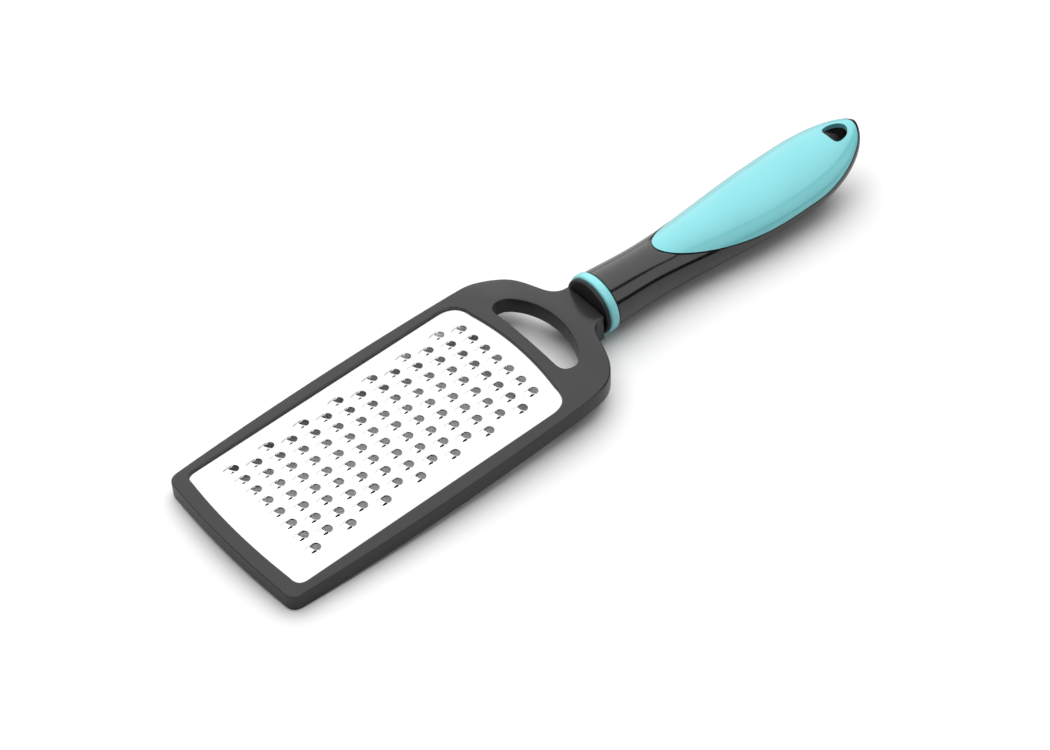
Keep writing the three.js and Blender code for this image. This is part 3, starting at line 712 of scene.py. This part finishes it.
# %% [markdown]
# ## From flat ring to moulding
#
# A mould gives the frame an even thickness and round edges, so that it wipes clean and feels smooth.
# The flat ring gets its thickness, then every sharp edge is rounded. The neck is deepened so that it
# meets the handle, and the whole moulding is bowed like the plate.

# %% Thickness, round edges, neck and bow
FRAME_TOP = 0.9 * MM
FRAME_THICKNESS = 6.85 * MM
EDGE_ROUND = 1.9 * MM
NECK_TOP = -0.5 * MM
NECK_BOTTOM = -11.4 * MM
NECK_START = OPENING_BAR + OPENING_LENGTH
NECK_LENGTH = 12.7 * MM
NECK_CORE_HALF = 10 * MM
NECK_FADE = 8 * MM
frame_bottom = FRAME_TOP - FRAME_THICKNESS

face_upwards(moulding)
for corner in moulding.data.vertices:
    corner.co.z = FRAME_TOP
apply_modifier(moulding, "SOLIDIFY", thickness=FRAME_THICKNESS, offset=-1.0)
apply_modifier(moulding, "BEVEL", width=EDGE_ROUND, segments=6, limit_method="ANGLE",
               angle_limit=math.radians(60))
for corner in moulding.data.vertices:
    x, y, z = corner.co
    along = ease((x - NECK_START) / NECK_LENGTH)
    deepened = along * (1 - ease((abs(y) - NECK_CORE_HALF) / NECK_FADE))
    top = blend(FRAME_TOP, NECK_TOP, along)
    bottom = blend(frame_bottom, NECK_BOTTOM, deepened)
    corner.co.z = blend(bottom, top, (z - frame_bottom) / FRAME_THICKNESS)
bend_to_arch(moulding)
deepest = min(corner.co.z for corner in moulding.data.vertices)
print("moulding", round(moulding.dimensions.x / MM, 1), "mm long, down to", round(deepest / MM, 1), "mm")

# %% [markdown]
# ## Groove and tang
#
# The rim of the plate sits in a groove all round the window. A slab a little larger than the plate,
# with the same bow, is cut out of the frame. A straight tang at the neck reaches into the handle.

# %% Cut the groove and add the tang
GROOVE_CLEAR = 0.15 * MM
HANDLE_AXIS = -4.15 * MM
TANG_LENGTH = 30 * MM
TANG_SIZE = (12 * MM, 5.6 * MM)
TANG_ROOT = 0.5 * MM
TANG_ROUND = 0.6 * MM

bpy.ops.object.select_all(action="DESELECT")
slab_length = PLATE_NECK - PLATE_TIP + 2 * GROOVE_CLEAR
bpy.ops.mesh.primitive_grid_add(x_subdivisions=24, y_subdivisions=40, size=1,
                                location=((PLATE_TIP + PLATE_NECK) / 2, 0, GROOVE_CLEAR))
bpy.context.object.scale = (slab_length, 2 * (PLATE_HALF + GROOVE_CLEAR), 1)
slab = keep_place("groove_slab")
open_piece(slab, "EDGE")
clip_corners(PLATE_HALF + 2 * GROOVE_CLEAR)
weld()
close_piece()
bend_to_arch(slab)
face_upwards(slab)
apply_modifier(slab, "SOLIDIFY", thickness=SHEET_THICKNESS + 2 * GROOVE_CLEAR, offset=-1.0)
cut(moulding, slab)

bpy.ops.object.select_all(action="DESELECT")
tang_middle = NECK_END * MM + TANG_LENGTH / 2 - TANG_ROOT
bpy.ops.mesh.primitive_cube_add(size=1, location=(tang_middle, 0, HANDLE_AXIS))
bpy.context.object.scale = (TANG_LENGTH + 2 * TANG_ROOT, *TANG_SIZE)
tang = keep_place("tang")
apply_modifier(tang, "BEVEL", width=TANG_ROUND, segments=2)
cut(moulding, tang, "UNION")
discard(slab, tang)
print("moulding with groove and tang:", len(moulding.data.polygons), "faces")

# %% [markdown]
# ## Moulded plastics
#
# The frame comes from a mould whose surface was spark-eroded, which leaves a fine even texture and a
# satin look. The handle comes from a polished mould and is glossy. Its plug at the front is rougher,
# and its black is drawn darker as painted shade for the dim front of the handle.
# All are black, and so is what scatters inside them; the grey that the eye sees is the reflection of
# the room. The soft grip and the ring are dyed turquoise. Textures are drawn a little coarser than
# real ones, so that they show.

# %% Plastic finishes
CLOUD_SIZE = 14 * MM


def moulded_plastic(name, dark, light, roughness, grain_size, depth, gloss, fuzz=0.0):
    """A dyed plastic with a fine skin from its mould, a polish on top and a pale fuzz at its edges."""
    material = empty_material(name)
    tree = material.node_tree
    place = add_node(tree, "ShaderNodeTexCoord", {})
    skin = add_node(tree, "ShaderNodeTexNoise", {
        "Vector": place.outputs["Object"], "Scale": 1 / grain_size, "Detail": 2.0})
    clouds = add_node(tree, "ShaderNodeTexNoise", {
        "Vector": place.outputs["Object"], "Scale": 1 / CLOUD_SIZE, "Detail": 1.0})
    dye = add_node(tree, "ShaderNodeValToRGB", {"Fac": clouds.outputs["Fac"]})
    dye.color_ramp.elements[0].color = colour(dark)
    dye.color_ramp.elements[1].color = colour(light)
    sheen = add_node(tree, "ShaderNodeMapRange", {
        "Value": skin.outputs["Fac"], "To Min": roughness[0], "To Max": roughness[1]})
    relief = add_node(tree, "ShaderNodeBump", {
        "Height": skin.outputs["Fac"], "Strength": 0.3, "Distance": depth})
    shader = add_node(tree, "ShaderNodeBsdfPrincipled", {
        "Base Color": dye.outputs["Color"], "Roughness": sheen.outputs["Result"],
        "Coat Weight": gloss, "Coat Roughness": roughness[0],
        "Sheen Weight": fuzz, "Sheen Roughness": 0.4, "Normal": relief.outputs["Normal"]})
    add_node(tree, "ShaderNodeOutputMaterial", {"Surface": shader.outputs["BSDF"]})
    return material


# Satin nylon gives an even dark grey with a broad soft sheen.
satin_black = moulded_plastic("satin_black_nylon", "#2c2c2d", "#343435", roughness=(0.14, 0.22),
                              grain_size=0.5 * MM, depth=0.02 * MM, gloss=0.0)
# Polished plastic gives a deep black that mirrors the panels as clear bands.
gloss_black = moulded_plastic("gloss_black_abs", "#131314", "#18181a", roughness=(0.1, 0.18),
                              grain_size=0.6 * MM, depth=0.004 * MM, gloss=1.0)
# A rough face gives a plain black without bands. Its colour, darker than the gloss black, is painted
# shade for the dim plug at the front of the handle.
shaded_dull_black = moulded_plastic("shaded_dull_black_abs", "#0e0e0f", "#131314", roughness=(0.45, 0.55),
                             grain_size=0.5 * MM, depth=0.01 * MM, gloss=0.0)
# Dyed hard plastic gives a bright turquoise with a soft highlight.
ring_plastic = moulded_plastic("turquoise_abs", "#84dae0", "#8ce1e7", roughness=(0.2, 0.3),
                               grain_size=0.6 * MM, depth=0.006 * MM, gloss=0.6)
# Soft elastomer gives a turquoise that turns milky where it bends away.
soft_grip = moulded_plastic("turquoise_soft_elastomer", "#74ced4", "#7cd5da", roughness=(0.12, 0.2),
                            grain_size=0.5 * MM, depth=0.012 * MM, gloss=0.8, fuzz=0.5)
finish_piece(moulding, "head_frame", satin_black)

# %% [markdown]
# ## Nose and collar ring
#
# A round plug closes the front of the handle. Its spigot carries a turquoise ring, which hides the
# joint between the two mouldings. Both are turned shapes: discs that are inset, pulled out and rounded.

# %% Nose
ROUND_SIDES = 96
NOSE_FRONT = 130 * MM
NOSE_LENGTH = 1.3 * MM
NOSE_RADIUS = 10.3 * MM
NOSE_ROUND = 0.8 * MM
SPIGOT_RADIUS = 8.2 * MM
SPIGOT_LENGTH = 14 * MM
RIM_SLACK = 0.1 * MM
TANG_CLEAR = 2 * GROOVE_CLEAR


def add_disc(name, start, length, radius):
    bpy.ops.object.select_all(action="DESELECT")
    bpy.ops.mesh.primitive_cylinder_add(vertices=ROUND_SIDES, radius=radius, depth=length,
                                        location=(start + length / 2, 0, HANDLE_AXIS),
                                        rotation=(0, math.pi / 2, 0))
    return keep_place(name)


def round_rim(x, radius, width, segments):
    """Rounds the outer edge of a disc at one of its ends."""
    def on_edge(corner):
        out = math.hypot(corner.co.y, corner.co.z - HANDLE_AXIS)
        return abs(corner.co.x - x) < TINY and out > radius - RIM_SLACK

    pick("edges", lambda e: all(on_edge(v) for v in e.verts))
    bpy.ops.mesh.bevel(offset=width, segments=segments, profile=0.5)


def tang_tool():
    bpy.ops.object.select_all(action="DESELECT")
    bpy.ops.mesh.primitive_cube_add(size=1, location=(tang_middle, 0, HANDLE_AXIS))
    bpy.context.object.scale = (TANG_LENGTH + 4 * TANG_ROOT, *(size + TANG_CLEAR for size in TANG_SIZE))
    return keep_place("tang_slot")


nose = add_disc("handle_nose_plug", NOSE_FRONT, NOSE_LENGTH, NOSE_RADIUS)
open_piece(nose, "FACE")
pick("faces", lambda f: f.normal.x > 0.9)
bpy.ops.mesh.inset(thickness=NOSE_RADIUS - SPIGOT_RADIUS)
bpy.ops.mesh.extrude_region_move(TRANSFORM_OT_translate={"value": (SPIGOT_LENGTH, 0, 0)})
bpy.ops.mesh.select_mode(type="EDGE")
round_rim(NOSE_FRONT, NOSE_RADIUS, NOSE_ROUND, segments=8)
close_piece()
slot_tool = tang_tool()
cut(nose, slot_tool)
discard(slot_tool)
# The plug takes the rougher black, whose darker colour is painted shade.
finish_piece(nose, "handle_nose", shaded_dull_black)

# %% Collar ring
RING_FRONT = 131.6 * MM
RING_WIDTH = 3.5 * MM
RING_RADIUS = 11 * MM
RING_ROUND = 1 * MM
RING_BORE = SPIGOT_RADIUS + GROOVE_CLEAR

ring = add_disc("collar_ring_band", RING_FRONT, RING_WIDTH, RING_RADIUS)
open_piece(ring, "FACE")
pick("faces", lambda f: abs(f.normal.x) > 0.9)
bpy.ops.mesh.inset(thickness=RING_RADIUS - RING_BORE, use_individual=True)
bpy.ops.mesh.bridge_edge_loops()
bpy.ops.mesh.select_mode(type="EDGE")
for x in (RING_FRONT, RING_FRONT + RING_WIDTH):
    round_rim(x, RING_RADIUS, RING_ROUND, segments=5)
face_outwards()
close_piece()
finish_piece(ring, "collar_ring", ring_plastic)

# %% [markdown]
# ## The body of the handle
#
# The handle starts round at the ring, narrows a little, swells into a flat belly that fills the palm
# and closes in a blunt tail. It is pulled out of one circle, section by section. The same body, set in
# by the thickness of the grip, later gives the seat under the soft shell.

# %% Sections of the handle
# Sizes and places in mm.
HANDLE_FRONT, TAIL_START, HANDLE_TIP, BELLY_X = 135.4, 221.9, 252.69, 213.45
AXIS = HANDLE_AXIS / MM
FRONT_RADIUS, WAIST_HALF, BELLY_HALF = 10.4, 9.9, 14.2
WAIST_DISTANCE, BELLY_DISTANCE = 18.05, 78.05
BELLY_TOP, BELLY_BOTTOM, TAIL_TOP, TAIL_TIP_Z = 1.05, -16.55, 2.58, 1.15
TAIL_LENGTH = HANDLE_TIP - TAIL_START
TAIL_POWER = 2.0
TAIL_END_HALF = 0.15
BODY_STEPS, TAIL_STEPS = 40, 20


def settle(share):
    """Like ease, but it starts fast and only slows down at the end."""
    return 1 - (1 - clamp(share)) ** 2


def section(x):
    """Half width, middle height and half height of the handle at a place along it, in mm."""
    share = (1 - clamp((x - TAIL_START) / TAIL_LENGTH) ** TAIL_POWER) ** (1 / TAIL_POWER)
    along = (x - HANDLE_FRONT) / BELLY_DISTANCE
    waist = blend(FRONT_RADIUS, WAIST_HALF, ease((x - HANDLE_FRONT) / WAIST_DISTANCE))
    swell = ease((x - HANDLE_FRONT - WAIST_DISTANCE) / (BELLY_DISTANCE - WAIST_DISTANCE))
    rise = (TAIL_TOP - BELLY_TOP) * ease((x - BELLY_X) / (HANDLE_TIP - BELLY_X))
    top = blend(AXIS + FRONT_RADIUS, BELLY_TOP, settle(along)) + rise
    bottom = blend(AXIS - FRONT_RADIUS, BELLY_BOTTOM, settle(along))
    top, bottom = (TAIL_TIP_Z + (edge - TAIL_TIP_Z) * share for edge in (top, bottom))
    return blend(waist, BELLY_HALF, swell) * share, (top + bottom) / 2, (top - bottom) / 2


def drawn_handle(name, inset):
    """The handle pulled out of a circle, smaller all round by the inset in mm."""
    full = section(TAIL_START)[2]
    left = ((inset + TAIL_END_HALF) / full) ** TAIL_POWER
    end = TAIL_START + TAIL_LENGTH * (1 - left) ** (1 / TAIL_POWER)
    stations = [blend(HANDLE_FRONT, TAIL_START, step / BODY_STEPS) for step in range(BODY_STEPS)]
    for step in range(TAIL_STEPS + 1):
        stations.append(blend(TAIL_START, end, math.sin(step / TAIL_STEPS * math.pi / 2)))
    sizes = []
    for x in stations:
        half, middle, tall = section(x)
        sizes.append((x, half - inset, middle, tall - inset))
    x, half, middle, tall = sizes[0]
    bpy.ops.object.select_all(action="DESELECT")
    bpy.ops.mesh.primitive_circle_add(vertices=ROUND_SIDES, radius=MM, fill_type="NGON",
                                      location=(x * MM, 0, middle * MM), rotation=(0, math.pi / 2, 0))
    bpy.context.object.scale = (tall, half, 1)
    piece = keep_place(name)
    open_piece(piece, "FACE")
    bpy.ops.mesh.select_all(action="SELECT")
    for (x, half, middle, tall), (next_x, next_half, next_middle, next_tall) in zip(sizes, sizes[1:]):
        step = ((next_x - x) * MM, 0, (next_middle - middle) * MM)
        bpy.ops.mesh.extrude_region_move(TRANSFORM_OT_translate={"value": step})
        bpy.ops.transform.resize(value=(1, next_half / half, next_tall / tall),
                                 center_override=(next_x * MM, 0, next_middle * MM))
    face_outwards()
    close_piece()
    return piece


GRIP_THICKNESS = 2.0
GRIP_GAP = 0.12
GRIP_GROOVE = 0.35
body = drawn_handle("handle_core_moulding", 0.0)
shell_hollow = drawn_handle("shell_hollow", GRIP_THICKNESS)
seat_body = drawn_handle("seat_body", GRIP_THICKNESS + GRIP_GAP)
print("handle body", [round(size / MM, 1) for size in body.dimensions], "mm")

# %% [markdown]
# ## Where the two colours meet
#
# Seen from the side, the soft shell starts as a tongue on top of the handle and sweeps down to just
# above its middle. A tall block with that line as its lower edge separates the two mouldings. The hole
# in the tail, for a hook, goes through both.

# %% Parting block
GRIP_START = 24.6
GRIP_EDGE_RISE, TAIL_EDGE_RISE = 1.0, 2.7
GRIP_SWEEP = 45.0
GRIP_SWEEP_POWER = 1.8
BLOCK_REACH = 40.0
BLOCK_PAST_TIP = 4.0
LINE_STEPS = 60


def parting_line(clear):
    """The lower edge of the shell seen from the side, or a line that far outside it."""
    start = HANDLE_FRONT + GRIP_START - clear
    tongue = section(start)[2] - GRIP_EDGE_RISE
    line = []
    for step in range(LINE_STEPS + 1):
        x = blend(start, HANDLE_TIP, step / LINE_STEPS)
        sweep = clamp(1 - (x - start) / GRIP_SWEEP) ** GRIP_SWEEP_POWER
        rise = blend(GRIP_EDGE_RISE, TAIL_EDGE_RISE, ease((x - TAIL_START) / TAIL_LENGTH))
        line.append((x, section(x)[1] + rise + tongue * sweep - clear))
    return line + [(HANDLE_TIP + BLOCK_PAST_TIP, TAIL_TIP_Z + TAIL_EDGE_RISE - clear)]


def standing_block(name, line):
    """A flat wall above a line seen from the side, pulled out to both sides."""
    outline = [*line, (line[-1][0], BLOCK_REACH), (line[0][0], BLOCK_REACH)]
    bpy.ops.object.select_all(action="DESELECT")
    bpy.ops.mesh.primitive_circle_add(vertices=len(outline), fill_type="NGON")
    block = keep_place(name)
    for corner, (x, z) in zip(block.data.vertices, outline):
        corner.co = (x * MM, -BLOCK_REACH * MM, z * MM)
    open_piece(block, "FACE")
    bpy.ops.mesh.select_all(action="SELECT")
    bpy.ops.mesh.extrude_region_move(TRANSFORM_OT_translate={"value": (0, 2 * BLOCK_REACH * MM, 0)})
    face_outwards()
    close_piece()
    return block


grip_edge = parting_line(0.0)
grip_block = standing_block("grip_block", grip_edge)
seat_block = standing_block("seat_block", parting_line(GRIP_GROOVE))
print("parting line from", round(grip_edge[0][1], 1), "to", round(grip_edge[-1][1], 1), "mm")

# %% Hang hole
HOOK_START, HOOK_END, HOOK_HALF, HOOK_CORNER = 239.85, 248.05, 4.2, 2.4
HOOK_START_STEPS, HOOK_ROUND_STEPS = 4, 16

start_half = HOOK_HALF - HOOK_CORNER
hook_side = (HOOK_START + HOOK_CORNER, HOOK_HALF)
hole_start = [(HOOK_START, -start_half), (HOOK_START, start_half)]
hole_corner = [(HOOK_START, start_half), (HOOK_START, HOOK_HALF), hook_side]
hole_round = [hook_side, (HOOK_END - HOOK_CORNER, HOOK_HALF), (HOOK_END, HOOK_HALF / 2), (HOOK_END, 0)]
hole = drawn_loop("hang_hole", [
    curve(*hole_start, steps=HOOK_START_STEPS), curve(*hole_corner),
    curve(*hole_round, steps=HOOK_ROUND_STEPS), curve(*mirror(hole_round), steps=HOOK_ROUND_STEPS),
    curve(*mirror(hole_corner))])
open_piece(hole, "EDGE")
bpy.ops.mesh.select_all(action="SELECT")
bpy.ops.transform.translate(value=(0, 0, -BLOCK_REACH * MM))
bpy.ops.mesh.edge_face_add()
bpy.ops.mesh.extrude_region_move(TRANSFORM_OT_translate={"value": (0, 0, 2 * BLOCK_REACH * MM)})
face_outwards()
close_piece()
print("hang hole", [round(size / MM, 1) for size in hole.dimensions[:2]], "mm")

# %% [markdown]
# ## Core and shell
#
# The glossy core is moulded first, with a seat as deep as the soft shell is thick. The shell is then
# moulded over it. A narrow groove is left along its edge and shows as a thin dark line.

# %% Cut the two mouldings
SOCKET_LEAD = 1 * MM

grip = copy_piece(body, "grip_shell")
cut(grip, grip_block, "INTERSECT")
cut(grip, shell_hollow)
cut(grip, hole)

cut(seat_block, seat_body)
core = body
cut(core, seat_block)
cut(core, hole)
socket_start = HANDLE_FRONT * MM - SOCKET_LEAD
socket_end = NOSE_FRONT + NOSE_LENGTH + SPIGOT_LENGTH + TANG_CLEAR
socket = add_disc("socket", socket_start, socket_end - socket_start, SPIGOT_RADIUS + GROOVE_CLEAR)
slot_tool = tang_tool()
cut(core, socket)
cut(core, slot_tool)
discard(grip_block, seat_block, shell_hollow, seat_body, hole, socket, slot_tool)
finish_piece(core, "handle_core", gloss_black)
finish_piece(grip, "grip", soft_grip)
